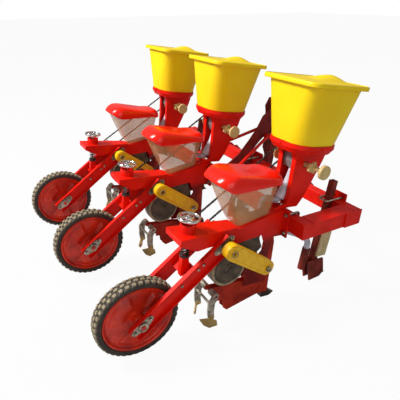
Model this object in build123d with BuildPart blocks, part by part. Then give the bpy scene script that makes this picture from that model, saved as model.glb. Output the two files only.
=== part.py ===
from build123d import *
import os
from math import atan2, cos, degrees, hypot, radians, sin

os.makedirs("parts", exist_ok=True)

# ---------------------------------------------------------------- driving dimensions (mm, degrees)
# The planter stands on its press wheels and openers, so the row units lean nose-down by unit_tilt.
unit_tilt = 8.6          # lean of the row units when standing on the floor
frame_tilt = 2.2         # lean of the tool frame
wheel_r = 183.0          # press wheel outer radius, also the axle height
mid_y = 15.75            # middle row from the origin, which is under the middle of the whole machine
back_x = 506.63          # middle wheel's foot behind the origin
row_pitch_right, row_pitch_left = 650.0, 585.0   # row spacings, adjustable on the beams
row_y = {"right": mid_y - row_pitch_right, "middle": mid_y, "left": mid_y + row_pitch_left}
sheet = 4.0              # folded sheet thickness
plate = 8.0              # cut plate thickness
gap = 0.5                # gap between pieces that meet face to face
fit = 0.05               # radial clearance of a running fit

# tool frame, p forward and q up from the top rear edge of the rear beam
frame_u, frame_w = 676.0, 387.0
beam_h = 72.0
rear_beam_d = 56.0
front_beam_d = 52.0
beam_wall = 5.0
frame_len = 366.0        # rear face to front face
side_beam_w = 76.0
end_over = 156.0         # frame end beyond the outer row centre line
socket_len = 104.0
mast_gap = 56.0          # between the middles of the mast plates
lower_span = 683.0       # lower hitch ball spacing
lower_pin_r = 11.0
top_pin_r = 9.5

# press wheel and its fork
tyre_w = 62.0
rim_r = 155.0
axle_r = 10.0
fork_off = 6.0           # fork centre beyond the wheel centre
fork_half = 64.0         # fork centre to the middle of an arm web
arm_w = 72.0
arm_flange = 16.0
arm_back, arm_front = 51.0, 492.0
pivot_u, pivot_w = 338.0, 306.0
pivot_r = 10.0
bearing_pitch = 80.0
cross_from, cross_to = 245.0, 307.0

# depth adjuster
adj_u = 190.0
adj_v = -3.0
plate_w = 364.0          # top of the adjuster plate
wheel_hand_r = 48.0
screw_r = 6.5
screw_end = 266.0        # lower end of the screw, inside the spring
collar_r, collar_h = 33.0, 34.0

# seed side
seed_u, seed_w = 538.0, 195.0
meter_u, meter_w, meter_r = 399.0, 172.0, 90.0
case_half = 35.0
sprocket_r = 27.0        # sprockets inside the chain case
chain_v = 151.0          # drive chain centre, left of the row centre
case_out, case_in = -137.0, -98.0
box_u, box_v = 462.0, 38.0
lid_l, lid_w = 336.0, 204.0
lid_floor, lid_round = 564.0, 70.0
body_half = 40.0
bolt_v = 54.0            # clamp bolts either side of the row centre

# fertiliser side
hop_u, hop_v = 742.0, 30.0
hop_top_half, hop_bot_half = 148.0, 120.0
rim_half = 165.0
hop_top_w, hop_bot_w = 957.0, 716.0
hop_top_round, hop_bot_round = 56.0, 84.0
hop_wall = 4.0
bowl_w = 698.0           # lower edge of the upright band of the hopper ring
col_half = 55.0
fert_v = -14.0
shank = 32.0
point_h = 26.5           # toe plate above the tip of a shovel point
tip_seed = (752.0, -70.0)
tip_fert = (1096.0, -18.8)
cover_pin = (344.0, 44.0)
paddle_ang = 50.0        # plan angle of a coverer paddle

arm_ang = degrees(atan2(pivot_w, pivot_u))
arm_len = hypot(pivot_u, pivot_w)


def side(y, tilt=unit_tilt, at=(0.0, 0.0)):
    """Upright fore-and-aft plane at y whose normal points to the right (-Y)."""
    t, s = radians(tilt), radians(unit_tilt)
    ox = at[0] * cos(s) + at[1] * sin(s) - back_x
    oz = wheel_r - at[0] * sin(s) + at[1] * cos(s)
    return Plane(origin=(ox, y, oz), x_dir=(cos(t), 0, -sin(t)), z_dir=(0, -1, 0))


def deck(w, y=0.0, u=0.0, tilt=unit_tilt, lean=0.0):
    """Level plane of a row unit at height w, its normal pointing up, x forward and y left."""
    s, t = radians(unit_tilt), radians(tilt - lean)
    org = (u * cos(s) + w * sin(s) - back_x, y, wheel_r - u * sin(s) + w * cos(s))
    return Plane(origin=org, x_dir=(cos(t), 0, -sin(t)), z_dir=(sin(t), 0, cos(t)))


def cross(u, w, y=0.0, tilt=unit_tilt):
    """Plane facing rearward at u, w: x to the right, y up, normal pointing back."""
    s, t = radians(unit_tilt), radians(tilt)
    org = (u * cos(s) + w * sin(s) - back_x, y, wheel_r - u * sin(s) + w * cos(s))
    return Plane(origin=org, x_dir=(0, -1, 0), z_dir=(-cos(t), 0, sin(t)))


def frame_side(y):
    return side(y, frame_tilt, (frame_u, frame_w))


def frame_deck(q, y=0.0):
    t = radians(frame_tilt)
    o = side(y, frame_tilt, (frame_u, frame_w)).origin
    org = (o.X + q * sin(t), y, o.Z + q * cos(t))
    return Plane(origin=org, x_dir=(cos(t), 0, -sin(t)), z_dir=(sin(t), 0, cos(t)))


def along(a, n=0.0):
    """Point of the fork: a along the arm from the axle, n square to it and upward."""
    k = radians(arm_ang)
    return (a * cos(k) - n * sin(k), a * sin(k) + n * cos(k))


def save(piece, label):
    piece.label = label
    export_step(piece, f"parts/{label}.step")


def group(pieces, label):
    save(Compound(children=pieces), label)


rows = list(row_y.items())
y_right = row_y["right"] - end_over
y_left = row_y["left"] + end_over
y_mid = (y_right + y_left) / 2
frame_y = y_left - y_right

# ---------------------------------------------------------------- tool frame
with BuildPart() as rear_beam:
    with BuildSketch(frame_side(y_left)):
        with Locations((rear_beam_d / 2, -beam_h / 2)):
            RectangleRounded(rear_beam_d, beam_h, 6)
            RectangleRounded(rear_beam_d - 2 * beam_wall, beam_h - 2 * beam_wall, 3, mode=Mode.SUBTRACT)
    extrude(amount=frame_y)
    for y_edge, inward in ((y_left, 1), (y_right, -1)):
        with BuildSketch(frame_side(y_edge)):
            with Locations((rear_beam_d / 2, -beam_h / 2)):
                RectangleRounded(rear_beam_d, beam_h, 6)
        extrude(amount=inward * beam_wall)
save(rear_beam.part, "rear_beam")

front_p = frame_len - front_beam_d / 2
with BuildPart() as front_beam:
    with BuildSketch(frame_side(y_left)):
        with Locations((front_p, -beam_h / 2)):
            RectangleRounded(front_beam_d, beam_h, 6)
            RectangleRounded(front_beam_d - 2 * beam_wall, beam_h - 2 * beam_wall, 3, mode=Mode.SUBTRACT)
    extrude(amount=frame_y)
save(front_beam.part, "front_beam")

# short side members butt between the two beams
side_members = []
side_len = frame_len - rear_beam_d - front_beam_d - 2 * gap
for y_edge, sgn in ((y_right, 1), (y_left, -1)):
    mid = y_edge + sgn * side_beam_w / 2
    with BuildPart() as member:
        with BuildSketch(frame_deck(-beam_h / 2, mid)):
            with Locations((rear_beam_d + gap + side_len / 2, 0)):
                Rectangle(side_len, side_beam_w)
        extrude(amount=beam_h / 2, both=True)
        with BuildSketch(frame_deck(-beam_h / 2, mid)):
            with Locations((rear_beam_d + gap + side_len / 2, 0)):
                Rectangle(side_len, side_beam_w - 2 * beam_wall)
        extrude(amount=beam_h / 2 - beam_wall, both=True, mode=Mode.SUBTRACT)
    side_members.append(member.part)
group(side_members, "side_beams")

ends = []
for y_edge, sgn in ((y_right, 1), (y_left, -1)):
    with BuildPart() as end_cap:
        with BuildSketch(frame_side(y_edge - sgn * gap)):
            with Locations((frame_len - socket_len / 2, -beam_h / 2 - 1)):
                RectangleRounded(socket_len, beam_h + 4, 3)
        extrude(amount=sgn * 5)
    ends.append(end_cap.part)
group(ends, "end_caps")

# three-point hitch: mast plates on the front beam, one braced to the rear beam, and a stay
mast_y = mid_y - 64.0    # the mast stands to the right of the middle column
top_pin = (1060.0, 768.0)
post = [(1076, 318), (1098, 318), (1098, 700), (1089.3, 797), (1028, 797), (1008, 749), (1024, 700),
        (1049, 600), (1049, 500), (1076, 452)]
braced = [(1049, 318), (1098, 318), (1098, 700), (1089.3, 797), (1028, 797), (999, 739), (956, 697),
          (927, 625), (882, 553), (830, 480), (770, 430), (736, 410), (733.3, 397.6), (734.6, 376),
          (739.7, 330), (766, 332), (800, 372), (892, 440), (912, 490), (960, 551), (1029, 625), (1049, 650)]
masts = []
for s, outline in ((-1, braced), (1, post)):
    with BuildPart() as mast:
        with BuildSketch(side(mast_y + s * mast_gap / 2)):
            with BuildLine():
                Polyline(*outline, close=True)
            make_face()
            with Locations(top_pin):
                Circle(top_pin_r + 0.2, mode=Mode.SUBTRACT)
        extrude(amount=plate / 2, both=True)
        if s > 0:
            with BuildSketch(side(mast_y + mast_gap / 2)):
                with Locations((1082, 640), (1090, 345)):
                    Circle(14)
            extrude(amount=mast_gap - plate / 2 - gap)
    masts.append(mast.part)
group(masts, "mast_plates")

stay_foot = {-1: mid_y - 205.0, 1: mid_y + 165.0}
stay_head = {-1: (1003.0, 582.0), 1: (1066.0, 632.0)}
stays = []
for sgn, foot_y in stay_foot.items():
    face = mast_y + sgn * (mast_gap / 2 + plate / 2)
    foot = side(foot_y).from_local_coords((704, 402, 0))
    head = side(face + sgn * 12).from_local_coords((*stay_head[sgn], 0))
    with BuildPart() as stay:
        with BuildLine() as run:
            Line(foot, head)
        with BuildSketch(Plane(origin=foot, z_dir=head - foot)):
            Circle(9)
        sweep()
        with BuildSketch(frame_deck(gap, foot_y)):
            with Locations((28, 0)):
                Rectangle(48, 60)
        extrude(amount=9)
        with BuildSketch(side(face + sgn * gap)):
            with Locations(stay_head[sgn]):
                Circle(17)
        extrude(amount=-sgn * 16)
    stays.append(stay.part)
group(stays, "mast_stays")

lower_p, lower_q = 432.0, -76.0
lower_gap = 56.0
brackets = []
for s in (-1, 1):
    yc = mast_y + s * lower_span / 2
    for t in (-1, 1):
        with BuildPart() as bracket:
            with BuildSketch(frame_side(yc + t * (lower_gap / 2 + plate / 2))):
                with BuildLine():
                    Polyline((frame_len + gap, -2), (frame_len + 30, -2), (lower_p + 22, lower_q + 18),
                             (lower_p + 22, lower_q - 18), (lower_p - 16, lower_q - 24),
                             (frame_len + gap, -beam_h + 2), close=True)
                make_face()
                with Locations((lower_p, lower_q)):
                    Circle(lower_pin_r + 0.2, mode=Mode.SUBTRACT)
            extrude(amount=plate / 2, both=True)
        brackets.append(bracket.part)
group(brackets, "hitch_brackets")


# ---------------------------------------------------------------- pieces of one row unit
seat = [(432.0, 358.0), (600.0, 402.0)]
seat_lean = degrees(atan2(seat[1][1] - seat[0][1], seat[1][0] - seat[0][0]))
cheek = [(400, 358), (400, 288), (428, 286), (556, 306), (588, 242), (560, 205), (505, 205), (505, 45),
         (640, 45), (632, 100), (616, 218), (628, 285), (683, 285), (668, 410), (630, 410), seat[1], seat[0]]


def unit_body(y):
    """Folded body: two cheeks, the seat of the seed box and the plate clamped to the rear beam."""
    with BuildPart() as p:
        for s in (-1, 1):
            with BuildSketch(side(y + s * (body_half - sheet / 2))):
                with BuildLine():
                    Polyline(*cheek, close=True)
                make_face()
                with Locations((seed_u, seed_w)):
                    Circle(pivot_r + 3)
                    Circle(pivot_r + 0.4, mode=Mode.SUBTRACT)
            extrude(amount=sheet / 2, both=True)
        with BuildSketch(side(y)):
            with BuildLine():
                Polyline((402, 358), (402, 354), (433, 354), (601, 398), (668, 398), (668, 410), (630, 410),
                         seat[1], seat[0], close=True)
            make_face()
        extrude(amount=body_half - sheet / 2, both=True)
        with BuildSketch(side(y, frame_tilt, (frame_u, frame_w))):
            with Locations((-4.5, -38)):
                Rectangle(plate, 132)
        extrude(amount=66, both=True)
        for v in (-bolt_v, bolt_v):
            for q in (8, -80):
                org = side(y, frame_tilt, (frame_u, frame_w)).from_local_coords((10, q, -v))
                with BuildSketch(Plane(origin=org, x_dir=(0, -1, 0),
                                       z_dir=(-cos(radians(frame_tilt)), 0, sin(radians(frame_tilt))))):
                    Circle(6.5)
                extrude(amount=40, mode=Mode.SUBTRACT)
        with BuildSketch(side(y + body_half + 1)):
            with Locations((meter_u, meter_w)):
                Circle(meter_r + 3)
        extrude(amount=2 * body_half + 2, mode=Mode.SUBTRACT)
    return p.part


def u_bolt(y, v, tilt, at, p_back, p_front, q_top, q_bot, r):
    """Round U-bolt lying fore and aft, its bend at the front, nuts at the back."""
    pl = side(y + v, tilt, at)
    pts = [pl.from_local_coords(c) for c in ((p_back, q_top, 0), (p_front, q_top, 0),
                                             (p_front, q_bot, 0), (p_back, q_bot, 0))]
    with BuildPart() as p:
        with BuildLine():
            FilletPolyline(*pts, radius=r * 1.7)
        with BuildSketch(Plane(origin=pts[0], z_dir=pts[1] - pts[0])):
            Circle(r)
        sweep()
        for q in (q_top, q_bot):
            o = pl.from_local_coords((-plate - 2 * gap - r * 1.5, q, 0))
            with BuildSketch(Plane(origin=o, z_dir=pts[1] - pts[0])):
                RegularPolygon(r * 1.7, 6)
            extrude(amount=r * 1.5)
    return p.part


def adjuster_plate(y):
    """Tapered top plate with folded cheeks that carry the pivot shaft."""
    outline = [(125, -72), (413, -40), (413, 40), (125, 55)]
    with BuildPart() as p:
        with BuildSketch(deck(plate_w, y)):
            with BuildLine():
                Polyline(*outline, close=True)
            make_face()
        extrude(amount=-86)
        with BuildSketch(deck(plate_w - sheet, y)):
            with BuildLine():
                Polyline((125 + sheet, -68), (420, -36), (420, 36), (125 + sheet, 51), close=True)
            make_face()
        extrude(amount=-86, mode=Mode.SUBTRACT)
        with BuildSketch(side(y + 80)):
            with BuildLine():
                Polyline((100, 343), (118, 343), (212, 299), (262, 303), (306, 302), (316, 284), (330, 280),
                         (352, 282), (372, 300), (397, 300), (397, 359.5), (430, 359.5), (430, 200), (100, 200),
                         close=True)
            make_face()
        extrude(amount=160, mode=Mode.SUBTRACT)
        with BuildSketch(side(y + 80)):
            with Locations((pivot_u, pivot_w)):
                Circle(pivot_r + 0.4)
        extrude(amount=160, mode=Mode.SUBTRACT)
        with BuildSketch(deck(plate_w, y)):
            with Locations((adj_u, adj_v)):
                Circle(collar_r)
                Circle(collar_r - sheet, mode=Mode.SUBTRACT)
        extrude(amount=collar_h)
        with BuildSketch(deck(plate_w, y)):
            with Locations((adj_u, adj_v)):
                Circle(screw_r + 0.8)
        extrude(amount=-10, mode=Mode.SUBTRACT)
    return p.part


def wheel_fork(y):
    """Two channel arms joined by a cross plate that carries the spring seat."""
    yc = y + fork_off
    mid = (arm_front - arm_back) / 2
    length = arm_front + arm_back
    with BuildPart() as p:
        for s in (-1, 1):
            with BuildSketch(side(yc + s * fork_half)):
                with Locations(along(mid, -3)):
                    Rectangle(length, arm_w, rotation=arm_ang)
                with Locations((0, 0), (pivot_u, pivot_w)):
                    Circle(21, mode=Mode.SUBTRACT)
            extrude(amount=sheet / 2, both=True)
            with BuildSketch(side(yc + s * fork_half)):
                for n in (-3 + arm_w / 2 - sheet / 2, -3 - arm_w / 2 + sheet / 2):
                    with Locations(along(mid, n)):
                        Rectangle(length, sheet, rotation=arm_ang)
            extrude(amount=-s * (arm_flange + sheet / 2))
            with BuildSketch(side(yc + s * (fork_half + sheet / 2))):
                for a in (218, 311, 340):
                    with Locations(along(a, 0)):
                        Circle(5)
            extrude(amount=-s * 5)
        with BuildSketch(side(yc)):
            with Locations(along((cross_from + cross_to) / 2, 0)):
                Rectangle(cross_to - cross_from, 5, rotation=arm_ang)
            for a in (cross_from + 2.5, cross_to - 2.5):
                with Locations(along(a, -14)):
                    Rectangle(5, 30, rotation=arm_ang)
        extrude(amount=fork_half, both=True)
        with BuildSketch(side(y + adj_v)):
            with BuildLine():
                Polyline((adj_u - 12, 160), (adj_u + 26, 190), (adj_u + 20, 214), (adj_u + 15, 248),
                         (adj_u - 15, 248), (adj_u - 15, 214), close=True)
            make_face()
        extrude(amount=13, both=True)
    return p.part


def fork_bearings(y):
    """Four two-bolt flange bearings on the outer faces of the arm webs."""
    yc = y + fork_off
    out = []
    for s in (-1, 1):
        face = yc + s * (fork_half + sheet / 2 + gap)
        for a in (0.0, arm_len):
            with BuildPart() as p:
                with BuildSketch(side(face)):
                    with Locations(along(a, 0)):
                        SlotCenterToCenter(bearing_pitch, 30, rotation=arm_ang)
                        Circle(25)
                    make_hull()
                    with Locations(along(a, 0)):
                        Circle(axle_r + fit, mode=Mode.SUBTRACT)
                extrude(amount=-s * 6)
                with BuildSketch(side(face)):
                    with Locations(along(a, 0)):
                        Circle(21)
                        Circle(axle_r + fit, mode=Mode.SUBTRACT)
                extrude(amount=-s * 16)
                with BuildSketch(side(face + s * 6)):
                    for d in (-1, 1):
                        with Locations(along(a + d * bearing_pitch / 2, 0)):
                            RegularPolygon(8, 6)
                extrude(amount=-s * 7)
            out.append(p.part)
    return out


def spring(y):
    """Compression spring on its cup, between the fork and the adjuster plate."""
    base = deck(249, y, adj_u)
    with BuildPart() as p:
        with BuildSketch(base):
            with Locations((0, adj_v)):
                Circle(21)
                Circle(screw_r + 8, mode=Mode.SUBTRACT)
        extrude(amount=4)
        with BuildSketch(base):
            with Locations((0, adj_v)):
                Circle(21)
                Circle(18.5, mode=Mode.SUBTRACT)
        extrude(amount=12)
        with BuildSketch(deck(253, y, adj_u)):
            with Locations((0, adj_v)):
                Circle(17)
                Circle(screw_r + 4, mode=Mode.SUBTRACT)
        extrude(amount=76)
        for k in range(5):
            with BuildSketch(deck(262 + 13 * k, y, adj_u)):
                with Locations((0, adj_v)):
                    Circle(18)
                    Circle(14.5, mode=Mode.SUBTRACT)
            extrude(amount=6.5, mode=Mode.SUBTRACT)
    return p.part


def handwheel(y):
    """Slotted handwheel on its screw."""
    with BuildPart() as p:
        with BuildSketch(deck(414, y, adj_u)):
            with Locations((0, adj_v)):
                Circle(wheel_hand_r)
        extrude(amount=16)
        fillet(p.edges().filter_by(GeomType.CIRCLE), 5)
        with BuildSketch(deck(426, y, adj_u)):
            for k in range(3):
                with Locations((28 * cos(radians(90 + 120 * k)), adj_v + 28 * sin(radians(90 + 120 * k)))):
                    SlotOverall(24, 12, rotation=120 * k)
        extrude(amount=-12, mode=Mode.SUBTRACT)
        with BuildSketch(deck(screw_end, y, adj_u)):
            with Locations((0, adj_v)):
                Circle(screw_r)
        extrude(amount=440 - screw_end)
        with BuildSketch(deck(plate_w + gap, y, adj_u)):
            with Locations((0, adj_v)):
                Circle(17)
        extrude(amount=7)
        with BuildSketch(deck(380, y, adj_u)):
            with Locations((0, adj_v)):
                Circle(13)
        extrude(amount=38)
    return p.part


def wheel_rim(y):
    """Pressed wheel body with its hub and axle."""
    with BuildPart() as p:
        with BuildSketch(side(y + tyre_w / 2 - 2)):
            Circle(rim_r - 2.2)
            Circle(rim_r - 7, mode=Mode.SUBTRACT)
        extrude(amount=tyre_w - 4)
        with BuildSketch(side(y - 14)):
            Circle(rim_r - 5)
        extrude(amount=4)
        with BuildSketch(side(y + 18)):
            Circle(rim_r - 5)
        extrude(amount=4)
        with BuildSketch(side(y + 44)):
            Circle(30)
        extrude(amount=88)
        with BuildSketch(side(y - 18)):
            for k in range(3):
                c = radians(75 + 120 * k)
                with Locations((88 * cos(c), 88 * sin(c))):
                    RectangleRounded(70, 62, 14, rotation=degrees(c))
        extrude(amount=9)
        with BuildSketch(side(y + fork_off + fork_half + 22)):
            Circle(axle_r)
        extrude(amount=2 * fork_half + 44)
    return p.part


def tyre(y):
    """Rubber tread ring."""
    with BuildPart() as p:
        with BuildSketch(side(y)):
            Circle(wheel_r)
            Circle(rim_r - 2, mode=Mode.SUBTRACT)
        extrude(amount=tyre_w / 2, both=True)
        fillet(p.edges().filter_by(GeomType.CIRCLE).group_by(SortBy.RADIUS)[-1], 7)
    return p.part


def pivot_shaft(y):
    """Cross shaft through the fork pivots with its case sprocket and chain sprocket."""
    with BuildPart() as p:
        with BuildSketch(side(y + chain_v + 10)):
            with Locations((pivot_u, pivot_w)):
                Circle(pivot_r)
        extrude(amount=chain_v + 10 - case_out - 12)
        with BuildSketch(side(y - 112)):
            with Locations((pivot_u, pivot_w)):
                Circle(sprocket_r)
        extrude(amount=8)
        with BuildSketch(side(y + chain_v + 3)):
            with Locations((pivot_u, pivot_w)):
                Circle(30)
        extrude(amount=6)
    return p.part


def seed_shaft(y):
    """Shaft from the case front sprocket into the seed meter drive."""
    with BuildPart() as p:
        with BuildSketch(side(y + body_half + 6)):
            with Locations((seed_u, seed_w)):
                Circle(pivot_r)
        extrude(amount=body_half + 6 - case_out - 12)
        with BuildSketch(side(y - 112)):
            with Locations((seed_u, seed_w)):
                Circle(sprocket_r)
        extrude(amount=8)
        with BuildSketch(side(y + 8)):
            with Locations((seed_u, seed_w)):
                Circle(26)
        extrude(amount=16)
    return p.part


def chain_case(y):
    """Moulded case over the short chain, open at the back."""
    cu, cw = (pivot_u + seed_u) / 2, (pivot_w + seed_w) / 2
    span = hypot(seed_u - pivot_u, seed_w - pivot_w)
    ang = degrees(atan2(seed_w - pivot_w, seed_u - pivot_u))
    with BuildPart() as p:
        with BuildSketch(side(y + case_in)):
            with Locations((cu, cw)):
                SlotCenterToCenter(span, 2 * case_half, rotation=ang)
        extrude(amount=case_in - case_out - 3)
        with BuildSketch(side(y + case_out + 3)):
            with Locations((cu, cw)):
                SlotCenterToCenter(span, 2 * case_half - 10, rotation=ang)
        extrude(amount=3)
        with BuildSketch(side(y + case_in + 1)):
            with Locations((cu, cw)):
                SlotCenterToCenter(span, 2 * case_half - 8, rotation=ang)
        extrude(amount=case_in - case_out - 7, mode=Mode.SUBTRACT)
        with BuildSketch(side(y + case_out + 2)):
            with Locations((cu, cw)):
                SlotCenterToCenter(span, 2 * case_half - 26, rotation=ang)
        extrude(amount=3, mode=Mode.SUBTRACT)
        with BuildSketch(side(y + case_out + 5)):
            with Locations((pivot_u, pivot_w), (seed_u, seed_w)):
                Circle(18)
        extrude(amount=6)
        with BuildSketch(side(y + case_in)):
            with Locations((pivot_u, pivot_w), (seed_u, seed_w)):
                Circle(pivot_r + 2)
        extrude(amount=80, mode=Mode.SUBTRACT)
    return p.part


def seed_meter(y):
    """Round meter housing with the throat that takes seed from the box."""
    with BuildPart() as p:
        with BuildSketch(side(y + 2)):
            with Locations((meter_u, meter_w)):
                Circle(meter_r)
        extrude(amount=48)
        with BuildSketch(side(y - 46)):
            with Locations((meter_u, meter_w)):
                Circle(meter_r - 14)
        extrude(amount=4)
        with BuildSketch(side(y)):
            with BuildLine():
                Polyline((424, 240), (424, 350), (480, 350), (545, 300), (575, 240), (560, 222),
                         (515, 216), (480, 200), close=True)
            make_face()
            with Locations((seed_u, seed_w)):
                Circle(30, mode=Mode.SUBTRACT)
        extrude(amount=34, both=True)
    return p.part


def seed_box(y):
    """Tapering clear box, open at the top."""
    def rings(grow, lift):
        low = deck(seat[0][1] + 3 + lift, y, seat[0][0], lean=seat_lean)
        top = deck(lid_floor - 0.6 + (1 if lift else 0), y)
        with BuildPart() as q:
            with BuildSketch(low):
                with Locations((78, 20)):
                    RectangleRounded(176 + 2 * grow, 96 + 2 * grow, 20)
            with BuildSketch(top):
                with Locations((box_u, box_v)):
                    RectangleRounded(314 + 2 * grow, 184 + 2 * grow, 66 + grow)
            loft()
        return q.part
    outer = rings(0, 0)
    return outer - rings(-3, 3)


def seed_lid(y):
    """Saddle-shaped lid with drooping sides, hollow underneath."""
    with BuildPart() as hollow:
        with BuildSketch(deck(500, y)):
            with Locations((box_u, box_v)):
                RectangleRounded(lid_l - 14, lid_w - 12, lid_round - 6)
        extrude(amount=120)
        with BuildSketch(side(y + box_v + 110)):
            with BuildLine():
                Polyline((290, 500), (290, 582), (322, 588), (370, 596), (460, 586), (540, 582), (600, 585),
                         (640, 574), (640, 500), close=True)
            make_face()
        extrude(amount=220, mode=Mode.INTERSECT)
    with BuildPart() as p:
        with BuildSketch(deck(500, y)):
            with Locations((box_u, box_v)):
                RectangleRounded(lid_l, lid_w, lid_round)
        extrude(amount=120)
        with BuildSketch(side(y + box_v + 110)):
            with BuildLine():
                Spline((288, 574), (312, 594), (370, 602), (460, 592), (540, 588), (606, 592), (640, 578))
                Line((640, 578), (640, 560))
                Polyline((640, 560), (600, 558), (520, 542), (440, 527), (392, 525), (340, 536), (306, 556),
                         (288, 558))
                Line((288, 558), (288, 574))
            make_face()
        extrude(amount=220, mode=Mode.INTERSECT)
        add(hollow.part, mode=Mode.SUBTRACT)
    return p.part


column_rear = [(684, 420), (682, 450), (684, 470), (683, 520), (676, 640), (660, 676)]
column_front = [(854, 676), (844, 634), (801, 523), (773, 456), (749, 420)]


def hopper_column(y):
    """Folded column with rearward flanges, and the ring that holds the hopper."""
    yc = y + hop_v
    with BuildPart() as p:
        for s in (-1, 1):
            with BuildSketch(side(yc + s * (col_half - sheet / 2))):
                with BuildLine():
                    Polyline(*column_rear, *column_front, (684, 420), close=True)
                make_face()
            extrude(amount=sheet / 2, both=True)
            with BuildSketch(side(yc + s * (col_half - sheet))):
                with BuildLine():
                    Polyline(*column_rear, *[(u + sheet, w) for u, w in reversed(column_rear)], close=True)
                make_face()
            extrude(amount=s * 20)
        with BuildSketch(side(yc - col_half + sheet / 2)):
            with BuildLine():
                Polyline((604, 416), (630, 410.6), (662, 410.6), (663, 416.5), (700, 416.5), (700, 440),
                         (682, 440), (642, 430), close=True)
            make_face()
        extrude(amount=sheet / 2, both=True)
        with BuildSketch(side(yc)):
            with BuildLine():
                Polyline(*column_front, *[(u - sheet, w) for u, w in reversed(column_front)], close=True)
            make_face()
            with BuildLine():
                Polyline((704, 416), (749, 416), (749, 420), (704, 420), close=True)
            make_face()
        extrude(amount=col_half - sheet / 2, both=True)
        for grow, floor_w, mode in ((5, bowl_w, Mode.ADD), (1, bowl_w + 2, Mode.SUBTRACT)):
            half = 2 * (hop_bot_half + grow)
            with BuildSketch(deck(floor_w, yc, hop_u)):
                RectangleRounded(half, half, hop_bot_round + grow)
            extrude(amount=hop_bot_w - bowl_w, mode=mode)
            with BuildSketch(deck(floor_w, yc, hop_u)):
                RectangleRounded(half, half, hop_bot_round + grow)
            extrude(amount=676 - bowl_w if grow > 1 else 680 - bowl_w, taper=35, mode=mode)
        with BuildSketch(deck(670, yc, hop_u)):
            RectangleRounded(90, 90, 20)
        extrude(amount=20, mode=Mode.SUBTRACT)
        for s in (-1, 1):
            with BuildSketch(side(yc + s * col_half)):
                with Locations((740, 618)):
                    Circle(14)
            extrude(amount=10, both=True, mode=Mode.SUBTRACT)
        for k in range(4):
            c = radians(180 + 90 * k)
            with BuildSketch(Plane(deck(706, yc, hop_u).from_local_coords(
                    ((hop_bot_half + 4) * cos(c), (hop_bot_half + 4) * sin(c), 0)),
                    z_dir=deck(706, yc, hop_u).x_dir * cos(c) + Vector(0, 1, 0) * sin(c))):
                Circle(5)
            extrude(amount=5)
    return p.part


def hopper(y):
    """Tapered moulded hopper, rounded square at the rim and rounder at the outlet."""
    yc = y + hop_v

    def body(inset, low, high):
        with BuildPart() as q:
            with BuildSketch(deck(low, yc, hop_u)):
                RectangleRounded(2 * (hop_bot_half - inset), 2 * (hop_bot_half - inset), hop_bot_round - inset)
            with BuildSketch(deck(high, yc, hop_u)):
                RectangleRounded(2 * (hop_top_half - inset), 2 * (hop_top_half - inset), hop_top_round - inset)
            loft()
        return q.part
    shell = body(0, hop_bot_w + gap, hop_top_w) - body(hop_wall, hop_bot_w + gap + hop_wall, hop_top_w)
    with BuildPart() as p:
        add(shell)
        with BuildSketch(deck(hop_top_w - 2, yc, hop_u)):
            RectangleRounded(2 * rim_half - 14, 2 * rim_half - 14, 42)
            RectangleRounded(2 * (hop_top_half - hop_wall), 2 * (hop_top_half - hop_wall), hop_top_round - hop_wall,
                             mode=Mode.SUBTRACT)
        extrude(amount=6)
        with BuildSketch(deck(hop_bot_w - 1, yc, hop_u)):
            Circle(36)
        extrude(amount=10, mode=Mode.SUBTRACT)
    return p.part


def hopper_lid(y):
    """Lid with a turned-down edge and a domed grip."""
    yc = y + hop_v
    low = hop_top_w + 4 + gap
    with BuildPart() as p:
        with BuildSketch(deck(low, yc, hop_u)):
            RectangleRounded(2 * rim_half, 2 * rim_half, 46)
        extrude(amount=8)
        with BuildSketch(deck(hop_top_w - 6, yc, hop_u)):
            RectangleRounded(2 * rim_half, 2 * rim_half, 46)
            RectangleRounded(2 * rim_half - 8, 2 * rim_half - 8, 42, mode=Mode.SUBTRACT)
        extrude(amount=12)
        with BuildSketch(deck(low + 8, yc, hop_u)):
            with Locations((60, -20)):
                Circle(78)
        extrude(amount=25, taper=38)
    return p.part


def fert_meter(y):
    """Fluted-roller housing under the hopper outlet."""
    yc = y + hop_v
    with BuildPart() as p:
        with BuildSketch(side(yc)):
            with BuildLine():
                Polyline((700, 672), (790, 672), (790, 640), (770, 588), (706, 588), (692, 620), close=True)
            make_face()
            with Locations((740, 618)):
                Circle(pivot_r + 0.5, mode=Mode.SUBTRACT)
        extrude(amount=40, both=True)
    return p.part


def rate_shaft(y):
    """Metering shaft with its rate knob, star lock and sprocket."""
    with BuildPart() as p:
        with BuildSketch(side(y + chain_v + 10)):
            with Locations((740, 618)):
                Circle(pivot_r)
        extrude(amount=chain_v + 10 + 134)
        with BuildSketch(side(y + chain_v + 3)):
            with Locations((740, 618)):
                Circle(30)
        extrude(amount=6)
        with BuildSketch(side(y - 126)):
            with Locations((740, 618)):
                Circle(31)
        extrude(amount=14)
        with BuildSketch(side(y - 60)):
            for k in range(5):
                with Locations((740 + 18 * cos(radians(72 * k)), 618 + 18 * sin(radians(72 * k)))):
                    Circle(9)
            with Locations((740, 618)):
                Circle(17)
        extrude(amount=12)
    return p.part


def chain_loop(y):
    """Roller chain from the pivot shaft to the metering shaft, as a closed band."""
    du, dw = 740 - pivot_u, 618 - pivot_w
    with BuildPart() as p:
        with BuildSketch(side(y + chain_v + 5)):
            with Locations(((740 + pivot_u) / 2, (618 + pivot_w) / 2)):
                SlotCenterToCenter(hypot(du, dw), 80, rotation=degrees(atan2(dw, du)))
                SlotCenterToCenter(hypot(du, dw), 62, rotation=degrees(atan2(dw, du)), mode=Mode.SUBTRACT)
        extrude(amount=10)
    return p.part


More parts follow.
